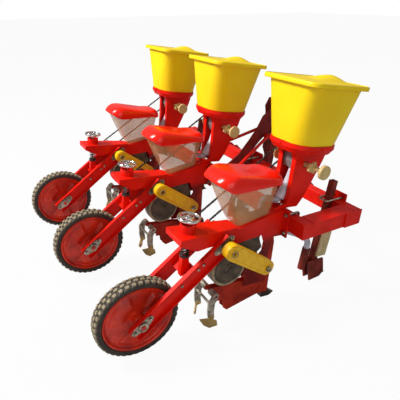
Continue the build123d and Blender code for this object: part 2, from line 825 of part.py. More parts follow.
def tube(points, r, bore=0.0, radius=25.0):
    """Round tube along a polyline with rounded bends."""
    with BuildPart() as p:
        with BuildLine():
            if len(points) == 2:
                Line(*points)
            else:
                FilletPolyline(*points, radius=radius)
        with BuildSketch(Plane(origin=points[0], z_dir=points[1] - points[0])):
            Circle(r)
            if bore:
                Circle(bore, mode=Mode.SUBTRACT)
        sweep()
    return p.part


def at(u, w, y):
    return side(y).from_local_coords((u, w, 0))


def chute(y):
    """Moulded chute leading the fertiliser out of the back of the column."""
    return tube([at(726, 580, y + 24), at(712, 520, y + 24), at(672, 448, y + 22)], 22, 19, 45)


hose_path = [(671.5, 22, 447.1), (657, 24, 436), (648, 62, 432), (643, 92, 412), (646, 98, 366),
             (662, 98, 312), (704, 86, 276), (764, 52, 256), (826, 8, 244), (884, -12, 222),
             (905, -14, 192), (905, -14, 162.5)]


def hose(y):
    """Clear drop hose from the chute behind and under the rear beam to the drop tube."""
    return tube([at(u, w, y + v) for u, v, w in hose_path], 15, 12.5, 14)


def opener(y):
    """Seed furrow opener: cheeks behind a shank held between the body cheeks."""
    wing = [(388, 57), (352, 58), (332, 52), (331, 37), (344, 31), (386, 26), (385, -23), (422, -25),
            (431, -71), (455, -92), (636, -42), (640, 40), (490, 57)]
    with BuildPart() as p:
        for s in (-1, 1):
            with BuildSketch(side(y + s * 14)):
                with BuildLine():
                    Polyline(*wing, close=True)
                make_face()
            extrude(amount=sheet / 2, both=True)
        with BuildSketch(side(y)):
            with BuildLine():
                Polyline((630, -43), (690, -43), (664, 240), (655, 270), (628, 270), (628, 40), close=True)
            make_face()
        extrude(amount=18, both=True)
        with BuildSketch(side(y)):
            with Locations((600, 62)):
                Rectangle(100, 60)
        extrude(amount=body_half - sheet - gap, both=True)
        with BuildSketch(side(y)):
            with Locations(cover_pin):
                Circle(7 - fit)
        extrude(amount=56, both=True)
    return p.part


def point(y, u, w, half, drop, back):
    """Forged shovel point at the toe of an opener, its tip at u, w."""
    with BuildPart() as p:
        with BuildSketch(side(y)):
            with BuildLine():
                Polyline((u - back, w - drop), (u - 28, w - 3), (u, w), (u - 46, w + point_h),
                         (u - back, w + point_h), close=True)
            make_face()
        extrude(amount=half, both=True)
        with BuildSketch(deck(w - 30, y, u)):
            with BuildLine():
                Polyline((2, 4), (2, -4), (-46, -half), (-back - 10, -half), (-back - 10, half),
                         (-46, half), close=True)
            make_face()
        extrude(amount=80, mode=Mode.INTERSECT)
    return p.part


def fert_boot(y):
    """Fertiliser opener: square shank, cheeks and the drop tube behind it."""
    yc = y + fert_v
    near = [(919, 86), (1029, 91), (1061, 4), (1040, -24), (966, -36)]
    with BuildPart() as p:
        with BuildSketch(deck(60, yc, 971)):
            RectangleRounded(shank, shank, 3)
            RectangleRounded(shank - 8, shank - 8, 1, mode=Mode.SUBTRACT)
        extrude(amount=522 - 60)
        for s in (-1, 1):
            with BuildSketch(side(yc + s * 20)):
                with BuildLine():
                    Polyline(*near, close=True)
                make_face()
            extrude(amount=sheet, both=True)
        with BuildSketch(side(yc)):
            with BuildLine():
                Polyline((905, 60), (960, 60), (960, 92), (905, 92), close=True)
            make_face()
        extrude(amount=4, both=True)
        with BuildSketch(side(yc)):
            with Locations((975, 74)):
                Rectangle(40, 30)
        extrude(amount=shank / 2 + 2, both=True)
        with BuildSketch(deck(40, yc, 905)):
            Circle(19)
        extrude(amount=122)
        with BuildSketch(deck(40, yc, 905)):
            Circle(15.5)
        extrude(amount=122, mode=Mode.SUBTRACT)
        with BuildSketch(side(yc - shank / 2 + 1)):
            with Locations((1003, 182)):
                Rectangle(66, 146)
        extrude(amount=plate + 1)
    return p.part


def strap(y):
    """Back plate of the shank clamp on the front face of the front beam."""
    with BuildPart() as p:
        with BuildSketch(side(y + fert_v, frame_tilt, (frame_u, frame_w))):
            with Locations((frame_len + gap + plate / 2, -beam_h / 2)):
                Rectangle(plate, 132)
        extrude(amount=45, both=True)
        for v in (-27, 27):
            for q in (10, -82):
                org = side(y + fert_v, frame_tilt, (frame_u, frame_w)).from_local_coords((frame_len, q, -v))
                with BuildSketch(Plane(origin=org, z_dir=(-cos(radians(frame_tilt)), 0,
                                                          sin(radians(frame_tilt))))):
                    Circle(6)
                extrude(amount=30, both=True, mode=Mode.SUBTRACT)
    return p.part


def shank_bolt(y, q):
    """U-bolt round the back of the shank, level, its nuts in front of the strap."""
    base = side(y + fert_v, frame_tilt, (frame_u, frame_w))
    pts = [base.from_local_coords(c) for c in ((frame_len + 22, q, -27), (259, q, -27), (259, q, 27),
                                               (frame_len + 22, q, 27))]
    with BuildPart() as p:
        with BuildLine():
            FilletPolyline(*pts, radius=12)
        with BuildSketch(Plane(origin=pts[0], z_dir=pts[1] - pts[0])):
            Circle(5)
        sweep()
        for v in (-27, 27):
            o = base.from_local_coords((frame_len + gap + plate + 1, q, v))
            with BuildSketch(Plane(origin=o, z_dir=pts[0] - pts[1])):
                RegularPolygon(9, 6)
            extrude(amount=8)
    return p.part


def coverer(y):
    """Floating coverer: cross tube, two curved arms and two angled paddles."""
    with BuildPart() as p:
        for s in (-1, 1):
            with BuildSketch(side(y + s * 16.5)):
                with Locations(cover_pin):
                    Circle(15)
                    Circle(7, mode=Mode.SUBTRACT)
            extrude(amount=-s * 45.5)
        with BuildSketch(side(y)):
            with Locations((317, 14)):
                Circle(6)
        extrude(amount=58, both=True)
        for s in (-1, 1):
            with BuildSketch(side(y + s * 58)):
                with BuildLine():
                    Polyline((328, 52), (308, 20), (314, -40), (326, -84), (354, -76), (346, -38), (344, 8),
                             (358, 38), close=True)
                make_face()
                with Locations(cover_pin):
                    Circle(7, mode=Mode.SUBTRACT)
            extrude(amount=4, both=True)
            c, d = cos(radians(paddle_ang)), s * sin(radians(paddle_ang))
            pl = Plane(at(330, -92, y + s * 60), x_dir=(c, d, 0), z_dir=(d, -c, 0))
            with BuildSketch(pl):
                with BuildLine():
                    Polyline((-46, 2), (0, 24), (34, 22), (38, -4), (2, -32), (-26, -26), close=True)
                make_face()
            extrude(amount=2.5, both=True)
    return p.part


groups = {
    "unit_bodies": [], "u_bolts": [], "adjuster_plates": [], "chain_cases": [], "seed_meters": [],
    "seed_boxes": [], "hopper_columns": [], "hoppers": [], "fertiliser_meters": [], "drop_chutes": [],
    "drop_hoses": [], "drive_chains": [], "openers": [], "shovel_points": [], "fertiliser_boots": [],
    "shank_straps": [],
}
for name, y in rows:
    groups["unit_bodies"].append(unit_body(y))
    for v in (-bolt_v, bolt_v):
        groups["u_bolts"].append(
            u_bolt(y, v, frame_tilt, (frame_u, frame_w), -22, rear_beam_d + 8, 8, -80, 6))
    groups["adjuster_plates"].append(adjuster_plate(y))
    groups["chain_cases"].append(chain_case(y))
    groups["seed_meters"].append(seed_meter(y))
    groups["seed_boxes"].append(seed_box(y))
    groups["hopper_columns"].append(hopper_column(y))
    groups["hoppers"].append(hopper(y))
    groups["fertiliser_meters"].append(fert_meter(y))
    groups["drop_chutes"].append(chute(y))
    groups["drop_hoses"].append(hose(y))
    groups["drive_chains"].append(chain_loop(y))
    groups["openers"].append(opener(y))
    groups["shovel_points"] += [point(y, *tip_seed, 21, 1, 96), point(y + fert_v, *tip_fert, 15.5, 12, 92)]
    groups["fertiliser_boots"].append(fert_boot(y))
    groups["shank_straps"].append(strap(y))
    groups["u_bolts"] += [shank_bolt(y, 10), shank_bolt(y, -82)]
    save(wheel_fork(y), f"wheel_fork_{name}")
    group(fork_bearings(y), f"fork_bearings_{name}")
    save(spring(y), f"adjuster_spring_{name}")
    save(handwheel(y), f"handwheel_{name}")
    save(wheel_rim(y), f"wheel_rim_{name}")
    save(tyre(y), f"tyre_{name}")
    save(pivot_shaft(y), f"pivot_shaft_{name}")
    save(seed_shaft(y), f"seed_shaft_{name}")
    save(seed_lid(y), f"seed_lid_{name}")
    save(hopper_lid(y), f"hopper_lid_{name}")
    save(rate_shaft(y), f"rate_shaft_{name}")
    save(coverer(y), f"coverer_{name}")
for label, pieces in groups.items():
    group(pieces, label)
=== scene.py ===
# %% [markdown]
# # Corn planter: the looks around the CAD frame
# Three row units hang from one tool frame. Their frames, plates and shafts are the CAD nodes with painted,
# plated or moulded materials. Tyres, wheel discs, hoppers, lids, seed boxes, springs and chains are new
# surfaces, each written as a formula over a grid and laid in the space of the CAD node it stands for.
# A row unit has its own coordinates in millimetres: u forward from the wheel axle, v left, w up. They lean
# nose-down by 8.6 degrees, and `unit` takes them to the machine's own frame in metres.

# %%
from math import atan2, cos, pi, radians, sin

import bmesh
import bpy
import numpy as np
from mathutils import Matrix


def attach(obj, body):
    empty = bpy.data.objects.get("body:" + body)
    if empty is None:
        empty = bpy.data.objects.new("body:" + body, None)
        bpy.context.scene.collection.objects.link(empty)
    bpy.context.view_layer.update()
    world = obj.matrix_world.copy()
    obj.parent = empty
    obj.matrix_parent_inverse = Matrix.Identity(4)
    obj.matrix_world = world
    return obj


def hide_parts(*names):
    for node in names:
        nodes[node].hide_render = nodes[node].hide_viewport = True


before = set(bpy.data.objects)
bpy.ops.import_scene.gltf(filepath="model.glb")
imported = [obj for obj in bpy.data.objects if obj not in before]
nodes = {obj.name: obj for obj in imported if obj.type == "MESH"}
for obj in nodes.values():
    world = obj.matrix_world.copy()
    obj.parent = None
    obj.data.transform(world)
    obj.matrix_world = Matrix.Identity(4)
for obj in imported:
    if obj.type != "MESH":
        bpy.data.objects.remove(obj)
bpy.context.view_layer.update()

LEAN = radians(8.6)
AXLE_H = 183.0
BACK = 506.63
ROWS = {"right": -634.25, "middle": 15.75, "left": 600.75}

# %% [markdown]
# ## Camera and light
# The camera looks down from behind and to the right of the machine. A big soft light above and behind, weaker
# ones at the side and in front, and a white world give the plain studio light. Its place and directions
# are given in the frame of the right row unit, and turned with it.

# %%
right = np.array([0.84904891, -0.51263343, 0.1277612])
down = np.array([-0.1093834, -0.40715957, -0.90678352])
ahead = np.array([0.51686674, 0.7559286, -0.40177197])


def turned(d):
    """A direction of the row units' frame in the machine's frame: turned by the lean about Y."""
    return np.array([d[0] * cos(LEAN) + d[2] * sin(LEAN), d[1], -d[0] * sin(LEAN) + d[2] * cos(LEAN)])


def unit(u, v, w, row):
    """Points of a row unit in metres: lean about the axle, lift by the wheel radius, shift to the row."""
    u, v, w = np.broadcast_arrays(np.asarray(u, float), np.asarray(v, float), np.asarray(w, float))
    x = u * cos(LEAN) + w * sin(LEAN) - BACK
    z = AXLE_H - u * sin(LEAN) + w * cos(LEAN)
    return np.stack([x, v + ROWS[row], z], -1) / 1000


eye = unit(-551.9, -1166.2, 1073.9, "right")
cam_data = bpy.data.cameras.new("camera")
camera = bpy.data.objects.new("camera", cam_data)
bpy.context.scene.collection.objects.link(camera)
m = Matrix.Identity(4)
for i, axis in enumerate((turned(right), -turned(down), -turned(ahead))):
    for k in range(3):
        m[k][i] = axis[k]
for k in range(3):
    m[k][3] = eye[k]
camera.matrix_world = m
cam_data.lens = 35.31
cam_data.sensor_width = 36.0
cam_data.shift_x = -0.0045
cam_data.shift_y = 0.0214
cam_data.clip_end = 50.0
bpy.context.scene.camera = camera
print("camera at", eye.round(3))


def area(name, place, target, power, width):
    """A square soft light aimed at a point."""
    data = bpy.data.lights.new(name, "AREA")
    data.energy = power
    data.size = width
    light = bpy.data.objects.new(name, data)
    bpy.context.scene.collection.objects.link(light)
    p, t = np.array(place, float), np.array(target, float)
    z = (p - t) / np.linalg.norm(p - t)
    x = np.cross((0, 0, 1), z)
    x /= np.linalg.norm(x)
    y = np.cross(z, x)
    mat = Matrix.Identity(4)
    for i, axis in enumerate((x, y, z)):
        for k in range(3):
            mat[k][i] = axis[k]
    for k in range(3):
        mat[k][3] = p[k]
    light.matrix_world = mat


area("key", (-3.4, 1.6, 4.6), (0, 0, 0.5), 430, 1.3)
area("side", (-1.6, -4.4, 2.0), (0, 0, 0.5), 34, 2.6)
area("front", (3.6, -1.0, 2.6), (0, 0, 0.5), 16, 2.4)

bpy.context.scene.view_settings.view_transform = "Standard"
world = bpy.data.worlds.new("studio")
bpy.context.scene.world = world
world.use_nodes = True
sky = world.node_tree.nodes["Background"]
sky.inputs["Color"].default_value = (1, 1, 1, 1)
seen = world.node_tree.nodes.new("ShaderNodeLightPath")
gain = world.node_tree.nodes.new("ShaderNodeMapRange")
gain.inputs["To Min"].default_value = 0.3
gain.inputs["To Max"].default_value = 1.0
world.node_tree.links.new(seen.outputs["Is Camera Ray"], gain.inputs["Value"])
world.node_tree.links.new(gain.outputs["Result"], sky.inputs["Strength"])

# %% [markdown]
# ## Materials
# Two node groups hold what the materials share. `mottle` gives a slow colour variation between two tints and
# a roughness that follows it. `grain` gives a normal from fine noise. Each material has its own shader.

# %%


def socket(tree, name, kind, default=None, out=False, low_high=None):
    """Adds one socket to a node group's interface."""
    s = tree.interface.new_socket(name=name, in_out="OUTPUT" if out else "INPUT", socket_type=kind)
    if default is not None:
        s.default_value = default
    if low_high:
        s.min_value, s.max_value = low_high
    return s


def mottle_group():
    """Colour between two tints by fractal noise of the object's coordinates, and roughness with it."""
    g = bpy.data.node_groups.new("mottle", "ShaderNodeTree")
    socket(g, "Tint A", "NodeSocketColor", (0.8, 0.1, 0.1, 1))
    socket(g, "Tint B", "NodeSocketColor", (0.5, 0.05, 0.05, 1))
    socket(g, "Scale", "NodeSocketFloat", 18.0)
    socket(g, "Rough low", "NodeSocketFloat", 0.25)
    socket(g, "Rough high", "NodeSocketFloat", 0.5)
    socket(g, "Color", "NodeSocketColor", out=True)
    socket(g, "Roughness", "NodeSocketFloat", out=True)
    n, ln = g.nodes, g.links
    gin, gout = n.new("NodeGroupInput"), n.new("NodeGroupOutput")
    coord = n.new("ShaderNodeTexCoord")
    noise = n.new("ShaderNodeTexNoise")
    noise.inputs["Detail"].default_value = 5.0
    ramp = n.new("ShaderNodeMapRange")
    ramp.inputs["From Min"].default_value = 0.35
    ramp.inputs["From Max"].default_value = 0.65
    mix = n.new("ShaderNodeMix")
    mix.data_type = "RGBA"
    rough = n.new("ShaderNodeMapRange")
    ln.new(coord.outputs["Object"], noise.inputs["Vector"])
    ln.new(gin.outputs["Scale"], noise.inputs["Scale"])
    ln.new(noise.outputs["Fac"], ramp.inputs["Value"])
    ln.new(ramp.outputs["Result"], mix.inputs["Factor"])
    ln.new(gin.outputs["Tint A"], mix.inputs[6])
    ln.new(gin.outputs["Tint B"], mix.inputs[7])
    ln.new(mix.outputs[2], gout.inputs["Color"])
    ln.new(ramp.outputs["Result"], rough.inputs["Value"])
    ln.new(gin.outputs["Rough low"], rough.inputs["To Min"])
    ln.new(gin.outputs["Rough high"], rough.inputs["To Max"])
    ln.new(rough.outputs["Result"], gout.inputs["Roughness"])
    return g


def grain_group():
    """Normal from fine noise, over edges rounded by a small radius."""
    g = bpy.data.node_groups.new("grain", "ShaderNodeTree")
    socket(g, "Scale", "NodeSocketFloat", 400.0)
    socket(g, "Strength", "NodeSocketFloat", 0.1)
    socket(g, "Distance", "NodeSocketFloat", 0.0004)
    socket(g, "Edge radius", "NodeSocketFloat", 0.0015)
    socket(g, "Normal", "NodeSocketVector", out=True)
    n, ln = g.nodes, g.links
    gin, gout = n.new("NodeGroupInput"), n.new("NodeGroupOutput")
    coord = n.new("ShaderNodeTexCoord")
    noise = n.new("ShaderNodeTexNoise")
    noise.inputs["Detail"].default_value = 3.0
    bevel = n.new("ShaderNodeBevel")
    bevel.samples = 4
    bump = n.new("ShaderNodeBump")
    ln.new(coord.outputs["Object"], noise.inputs["Vector"])
    ln.new(gin.outputs["Scale"], noise.inputs["Scale"])
    ln.new(noise.outputs["Fac"], bump.inputs["Height"])
    ln.new(gin.outputs["Strength"], bump.inputs["Strength"])
    ln.new(gin.outputs["Distance"], bump.inputs["Distance"])
    ln.new(gin.outputs["Edge radius"], bevel.inputs["Radius"])
    ln.new(bevel.outputs["Normal"], bump.inputs["Normal"])
    ln.new(bump.outputs["Normal"], gout.inputs["Normal"])
    return g


MOTTLE, GRAIN = mottle_group(), grain_group()


def material(name, a, b, scale=18.0, rough=(0.25, 0.45), grain=(400.0, 0.08), edge=0.0015, **shader):
    """A material: the two groups feed colour, roughness and normal; other sockets are set on the shader."""
    mat = bpy.data.materials.new(name)
    mat.use_nodes = True
    n, ln = mat.node_tree.nodes, mat.node_tree.links
    bsdf = n["Principled BSDF"]
    mo, gr = n.new("ShaderNodeGroup"), n.new("ShaderNodeGroup")
    mo.node_tree, gr.node_tree = MOTTLE, GRAIN
    mo.inputs["Tint A"].default_value = (*a, 1)
    mo.inputs["Tint B"].default_value = (*b, 1)
    mo.inputs["Scale"].default_value = scale
    mo.inputs["Rough low"].default_value, mo.inputs["Rough high"].default_value = rough
    gr.inputs["Scale"].default_value, gr.inputs["Strength"].default_value = grain
    gr.inputs["Edge radius"].default_value = edge
    ln.new(mo.outputs["Color"], bsdf.inputs["Base Color"])
    ln.new(mo.outputs["Roughness"], bsdf.inputs["Roughness"])
    ln.new(gr.outputs["Normal"], bsdf.inputs["Normal"])
    for key, value in shader.items():
        bsdf.inputs[key.replace("_", " ")].default_value = value
    return mat


M = {
    "red_paint": material("red_paint", (0.84, 0.010, 0.001), (0.66, 0.006, 0.001), 9, (0.35, 0.5),
                          (260, 0.05), Specular_IOR_Level=0.18, Coat_Weight=0.06, Coat_Roughness=0.15),
    # The next red is the frame's red paint darkened to stand for painted shade.
    "painted_shade_red": material("painted_shade_red", (0.26, 0.01, 0.004), (0.15, 0.006, 0.003), 14, (0.4, 0.6),
                         (260, 0.1), Specular_IOR_Level=0.3),
    # The openers' red is the frame paint darkened part-way as painted shade.
    "opener_painted_shade_red": material("opener_painted_shade_red", (0.52, 0.03, 0.008), (0.3, 0.014, 0.005), 16, (0.4, 0.6),
                           (260, 0.1), Specular_IOR_Level=0.25),
    "boot_brown": material("boot_brown", (0.24, 0.022, 0.01), (0.13, 0.012, 0.006), 22, (0.45, 0.65),
                           (300, 0.15), Specular_IOR_Level=0.3),
    "red_plastic": material("red_plastic", (0.92, 0.012, 0.001), (0.84, 0.008, 0.001), 7, (0.22, 0.32),
                            (500, 0.03), 0.003, Specular_IOR_Level=0.3, Coat_Weight=0.2, Coat_Roughness=0.1),
    "yellow_plastic": material("yellow_plastic", (0.93, 0.68, 0.0), (0.88, 0.6, 0.0), 6, (0.35, 0.5),
                               (500, 0.03), 0.002, Specular_IOR_Level=0.3),
    "case_yellow": material("case_yellow", (0.92, 0.55, 0.004), (0.82, 0.44, 0.003), 30, (0.3, 0.45),
                            (500, 0.06), 0.003, Specular_IOR_Level=0.4, Coat_Weight=0.1),
    "clear_plastic": material("clear_plastic", (0.72, 0.44, 0.2), (0.6, 0.34, 0.15), 5, (0.06, 0.12),
                              (30, 0.1), 0.002, Alpha=0.34, Coat_Weight=0.4),
    "zinc": material("zinc", (0.56, 0.5, 0.4), (0.2, 0.17, 0.13), 60, (0.2, 0.45), (700, 0.1), 0.001,
                     Metallic=1.0),
    "chrome": material("chrome", (0.85, 0.84, 0.82), (0.62, 0.61, 0.6), 40, (0.1, 0.25), (300, 0.03), 0.001,
                       Metallic=1.0),
    "black_steel": material("black_steel", (0.03, 0.025, 0.02), (0.06, 0.045, 0.035), 60, (0.35, 0.6),
                            (500, 0.15), 0.001, Metallic=0.4),
    "dark_housing": material("dark_housing", (0.11, 0.075, 0.042), (0.045, 0.032, 0.02), 25, (0.35, 0.6),
                             (300, 0.2), 0.003),
    "meter_rim": material("meter_rim", (0.4, 0.31, 0.18), (0.24, 0.18, 0.1), 40, (0.3, 0.5),
                          (300, 0.1), 0.001),
    "grey_plastic": material("grey_plastic", (0.3, 0.25, 0.24), (0.2, 0.17, 0.17), 20, (0.4, 0.6),
                             (400, 0.1), 0.002),
    "white_plastic": material("white_plastic", (0.66, 0.62, 0.7), (0.5, 0.48, 0.54), 18, (0.3, 0.5),
                              (400, 0.06), 0.002),
    "hose": material("hose", (0.66, 0.66, 0.74), (0.52, 0.52, 0.6), 30, (0.15, 0.3), (200, 0.08), 0.001,
                     Alpha=0.8),
    "knob_tan": material("knob_tan", (0.68, 0.5, 0.2), (0.55, 0.38, 0.14), 60, (0.35, 0.55), (500, 0.15),
                         0.003),
    "bar_cream": material("bar_cream", (0.68, 0.56, 0.3), (0.5, 0.38, 0.18), 35, (0.4, 0.6),
                          (400, 0.1), 0.001),
    "rim_red": material("rim_red", (0.74, 0.03, 0.006), (0.42, 0.012, 0.003), 12, (0.25, 0.45), (260, 0.06),
                        0.002, Specular_IOR_Level=0.4, Coat_Weight=0.15),
}


def by_height(name, upper, lower, height, soft):
    """A material whose colour goes from `lower` below a height to `upper` above it, over a short blend."""
    mat = M[upper].copy()
    mat.name = name
    n, ln = mat.node_tree.nodes, mat.node_tree.links
    bsdf = n["Principled BSDF"]
    old = bsdf.inputs["Base Color"].links[0].from_socket
    low_tint = n.new("ShaderNodeGroup")
    low_tint.node_tree = MOTTLE
    for src in M[lower].node_tree.nodes:
        if src.type == "GROUP" and src.node_tree == MOTTLE:
            for key in ("Tint A", "Tint B", "Scale", "Rough low", "Rough high"):
                low_tint.inputs[key].default_value = src.inputs[key].default_value
    coord, split = n.new("ShaderNodeTexCoord"), n.new("ShaderNodeSeparateXYZ")
    ramp = n.new("ShaderNodeMapRange")
    ramp.inputs["From Min"].default_value = height - soft
    ramp.inputs["From Max"].default_value = height + soft
    mix = n.new("ShaderNodeMix")
    mix.data_type = "RGBA"
    ln.new(coord.outputs["Object"], split.inputs["Vector"])
    ln.new(split.outputs["Z"], ramp.inputs["Value"])
    ln.new(ramp.outputs["Result"], mix.inputs["Factor"])
    ln.new(low_tint.outputs["Color"], mix.inputs[6])
    ln.new(old, mix.inputs[7])
    ln.new(mix.outputs[2], bsdf.inputs["Base Color"])
    return mat


# Row bodies: red paint above 0.375 m and the darkened red below, a painted shade over their lower parts.
M["body_red_shade_below"] = by_height("body_red_shade_below", "red_paint", "painted_shade_red", 0.375, 0.02)
M["coverer_steel"] = by_height("coverer_steel", "zinc", "knob_tan", 0.075, 0.004)
M["coverer_steel"].node_tree.nodes["Principled BSDF"].inputs["Metallic"].default_value = 0.6


def rubber():
    """Tyre rubber: black, with pale dust on the tread that is thickest on the blocks and patchy by noise."""
    mat = material("rubber", (0.018, 0.014, 0.01), (0.05, 0.04, 0.028), 35, (0.6, 0.85), (350, 0.25), 0.001)
    n, ln = mat.node_tree.nodes, mat.node_tree.links
    bsdf = n["Principled BSDF"]
    attr = n.new("ShaderNodeAttribute")
    attr.attribute_name = "dust"
    coord, noise = n.new("ShaderNodeTexCoord"), n.new("ShaderNodeTexNoise")
    noise.inputs["Scale"].default_value = 160.0
    noise.inputs["Detail"].default_value = 6.0
    ln.new(coord.outputs["Object"], noise.inputs["Vector"])
    mult = n.new("ShaderNodeMath")
    mult.operation = "MULTIPLY"
    ln.new(attr.outputs["Fac"], mult.inputs[0])
    ln.new(noise.outputs["Fac"], mult.inputs[1])
    gain = n.new("ShaderNodeMath")
    gain.operation = "MULTIPLY"
    gain.inputs[1].default_value = 1.5
    gain.use_clamp = True
    ln.new(mult.outputs["Value"], gain.inputs[0])
    mix = n.new("ShaderNodeMix")
    mix.data_type = "RGBA"
    mix.inputs[7].default_value = (0.34, 0.27, 0.17, 1)
    old = bsdf.inputs["Base Color"].links[0].from_socket
    ln.new(gain.outputs["Value"], mix.inputs["Factor"])
    ln.new(old, mix.inputs[6])
    ln.new(mix.outputs[2], bsdf.inputs["Base Color"])
    return mat


M["rubber"] = rubber()

# %% [markdown]
# Every CAD node that stays visible takes its material here.

# %%
paint = {
    "red_paint": ["rear_beam", "front_beam", "side_beams", "end_caps", "mast_stays", "hitch_brackets",
                  "adjuster_plates", "hopper_columns", "shank_straps"],
    # The mast plates take the red paint darkened as painted shade; the openers take it darkened part-way.
    "painted_shade_red": ["mast_plates"],
    "opener_painted_shade_red": ["openers"],
    "boot_brown": ["fertiliser_boots"],
    "body_red_shade_below": ["unit_bodies"],
    "case_yellow": ["chain_cases"],
    "dark_housing": ["seed_meters"],
    "grey_plastic": ["fertiliser_meters"],
    "white_plastic": ["drop_chutes"],
    "hose": ["drop_hoses"],
    "black_steel": ["shovel_points"],
    "zinc": ["u_bolts"],
}
per_row = {"wheel_fork": "red_paint", "fork_bearings": "zinc", "pivot_shaft": "zinc", "seed_shaft": "zinc",
           "rate_shaft": "knob_tan", "handwheel": "chrome", "coverer": "coverer_steel"}
for key, names in paint.items():
    for name in names:
        nodes[name].data.materials.clear()
        nodes[name].data.materials.append(M[key])
for base, key in per_row.items():
    for row in ROWS:
        nodes[f"{base}_{row}"].data.materials.clear()
        nodes[f"{base}_{row}"].data.materials.append(M[key])

# %% [markdown]
# ## Grid surfaces
# `patch_parts` turns a grid of points into faces. Its columns close on themselves, its rows may, and its two
# ends may be capped. `patch` makes one object of one grid, and `join` makes one object of several.

# %%


def patch_parts(grid, caps=(False, False), wrap_rows=False):
    """Points and faces of a grid [rows, cols, 3]: a quad between each point and its next row and column."""
    r, c = grid.shape[:2]
    idx = np.arange(r * c).reshape(r, c)
    cur = idx if wrap_rows else idx[:-1]
    nxt = np.roll(idx, -1, 0) if wrap_rows else idx[1:]
    faces = np.stack([cur, np.roll(cur, -1, 1), np.roll(nxt, -1, 1), nxt], -1).reshape(-1, 4).tolist()
    if caps[0]:
        faces.append(idx[0][::-1].tolist())
    if caps[1]:
        faces.append(idx[-1].tolist())
    return grid.reshape(-1, 3), faces


def build(name, points, faces, mat, smooth=40.0):
    """Mesh object from points and faces, normals made to point outward and edges under an angle smoothed."""
    mesh = bpy.data.meshes.new(name)
    mesh.from_pydata(np.asarray(points).tolist(), [], faces)
    mesh.update()
    bm = bmesh.new()
    bm.from_mesh(mesh)
    bmesh.ops.recalc_face_normals(bm, faces=bm.faces)
    bm.to_mesh(mesh)
    bm.free()
    obj = bpy.data.objects.new(name, mesh)
    bpy.context.scene.collection.objects.link(obj)
    mesh.materials.append(mat)
    mesh.shade_smooth()
    mesh.set_sharp_from_angle(angle=radians(smooth))
    return obj


def patch(name, grid, mat, caps=(False, False), wrap_rows=False, smooth=40.0):
    """Mesh object of one grid."""
    return build(name, *patch_parts(grid, caps, wrap_rows), mat, smooth)


def rounded(half_u, half_v, r, n=96):
    """Outline of a rounded rectangle: n points at even angles of the corner arcs and the straight sides."""
    t = np.linspace(0, 2 * pi, n, endpoint=False) + pi / n
    cx, cy = half_u - r, half_v - r
    sx, sy = np.sign(np.cos(t)), np.sign(np.sin(t))
    q = np.mod(t, pi / 2)
    blend = np.where(sx * sy > 0, q, pi / 2 - q)
    return np.stack([sx * (cx + r * np.cos(blend)), sy * (cy + r * np.sin(blend))], -1)


def join(name, parts, mat, smooth=40.0):
    """One mesh from several (points, faces) pieces."""
    pts, faces, k = [], [], 0
    for p, f in parts:
        pts.append(np.asarray(p))
        faces += [[i + k for i in q] for q in f]
        k += len(p)
    return build(name, np.concatenate(pts), faces, mat, smooth)


def tube_parts(path, radius, sides=10, closed=False):
    """Points and faces of a round tube along a path: a ring square to the path at every point."""
    path = np.asarray(path, float)
    tan = np.gradient(path, axis=0) if not closed else np.roll(path, -1, 0) - np.roll(path, 1, 0)
    tan /= np.linalg.norm(tan, axis=1, keepdims=True)
    ref = np.array([0.3, 0.2, 1.0])
    a = np.cross(tan, ref)
    a /= np.linalg.norm(a, axis=1, keepdims=True)
    b = np.cross(tan, a)
    ang = np.linspace(0, 2 * pi, sides, endpoint=False)
    grid = path[:, None] + radius * (np.cos(ang)[None, :, None] * a[:, None] +
                                     np.sin(ang)[None, :, None] * b[:, None])
    return patch_parts(grid, (not closed, not closed), closed)


# %% [markdown]
# ## Press wheels
# The tyre is a ring of revolution whose outer radius steps between the tread's blocks and its grooves. The
# disc is dished, with three raised sectors between the hub and the rim.

# %%


TYRE_R, TREAD_HALF = 183.0, 29.5
BLOCKS, GROOVE = 40, 7.0


def tyre(row):
    """Tread: blocks in three staggered bands, slanted across the tyre, standing above the grooves."""
    n, across = 720, 31
    t = np.linspace(0, 2 * pi, n, endpoint=False)
    v = np.linspace(-TREAD_HALF, TREAD_HALF, across)
    tt, vv = np.meshgrid(t, v, indexing="xy")
    third = (vv + TREAD_HALF) / (2 * TREAD_HALF) * 3
    band = np.clip(np.floor(third), 0, 2)
    inside = np.abs(third - band - 0.5)
    phase = tt * BLOCKS / (2 * pi) + band * 0.5 + (band - 1) * inside * 0.25
    along_block = np.abs(phase - np.round(phase))
    block = np.clip((0.31 - along_block) / 0.03, 0, 1) * np.clip((0.42 - inside) / 0.05, 0, 1)
    crown = TYRE_R - 5.0 * np.abs(vv / TREAD_HALF) ** 3
    rad = crown - GROOVE + 6.7 * block
    outer = np.stack([rad * np.cos(tt), vv, rad * np.sin(tt)], -1)
    inner = []
    for rr, vv2 in ((172.0, 30.8), (162.0, 30.5), (155.5, 28.5), (154.0, 26.0), (154.0, -26.0),
                    (155.5, -28.5), (162.0, -30.5), (172.0, -30.8)):
        inner.append(np.stack([rr * np.cos(t), np.full(n, vv2), rr * np.sin(t)], -1))
    g = np.concatenate([outer, np.stack(inner)])
    dust = np.zeros(g.shape[:2], np.float32)
    dust[:across] = 0.05 + 1.1 * block
    obj = patch(f"tread_{row}", unit(g[..., 0], g[..., 1], g[..., 2], row), M["rubber"], wrap_rows=True,
                smooth=35)
    att = obj.data.attributes.new("dust", "FLOAT", "POINT")
    att.data.foreach_set("value", dust.ravel())
    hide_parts(f"tyre_{row}")
    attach(obj, f"press_wheel_{row}")
    return obj


